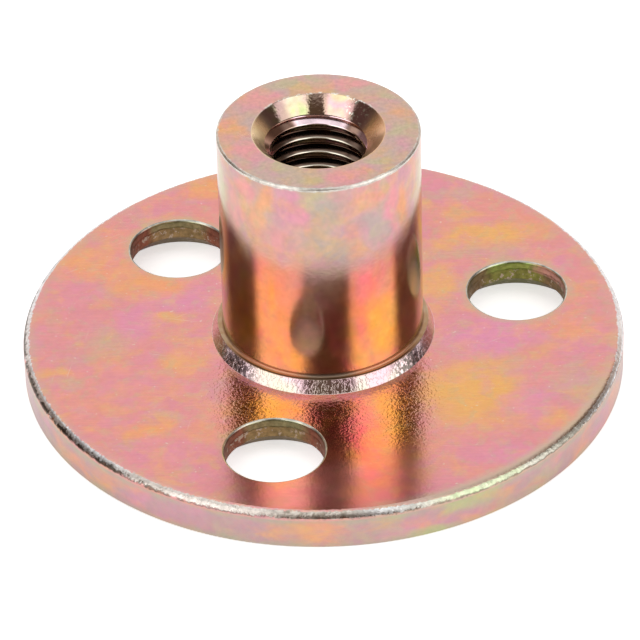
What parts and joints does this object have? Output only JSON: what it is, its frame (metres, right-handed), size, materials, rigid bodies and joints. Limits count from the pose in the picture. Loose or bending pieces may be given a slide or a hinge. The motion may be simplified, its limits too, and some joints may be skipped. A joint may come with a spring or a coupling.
{
  "type": "tee nut",
  "caption": "Round-base tee nut: a threaded barrel with a countersunk mouth on a round flange with countersunk screw holes, in yellow-plated steel.",
  "frame": {"origin": "centre of the flange's flat underside, on the thread's axis", "axes": "+Z along the thread, out of the barrel's countersunk mouth; +X through the first screw hole"},
  "size_m": [0.054, 0.054, 0.0252],
  "materials": {
    "yellow_zinc_steel": "iridescent yellow zinc plating, satin"
  },
  "bodies": {
    "root": {"tee_nut": "yellow_zinc_steel"}
  },
  "joints": []
}
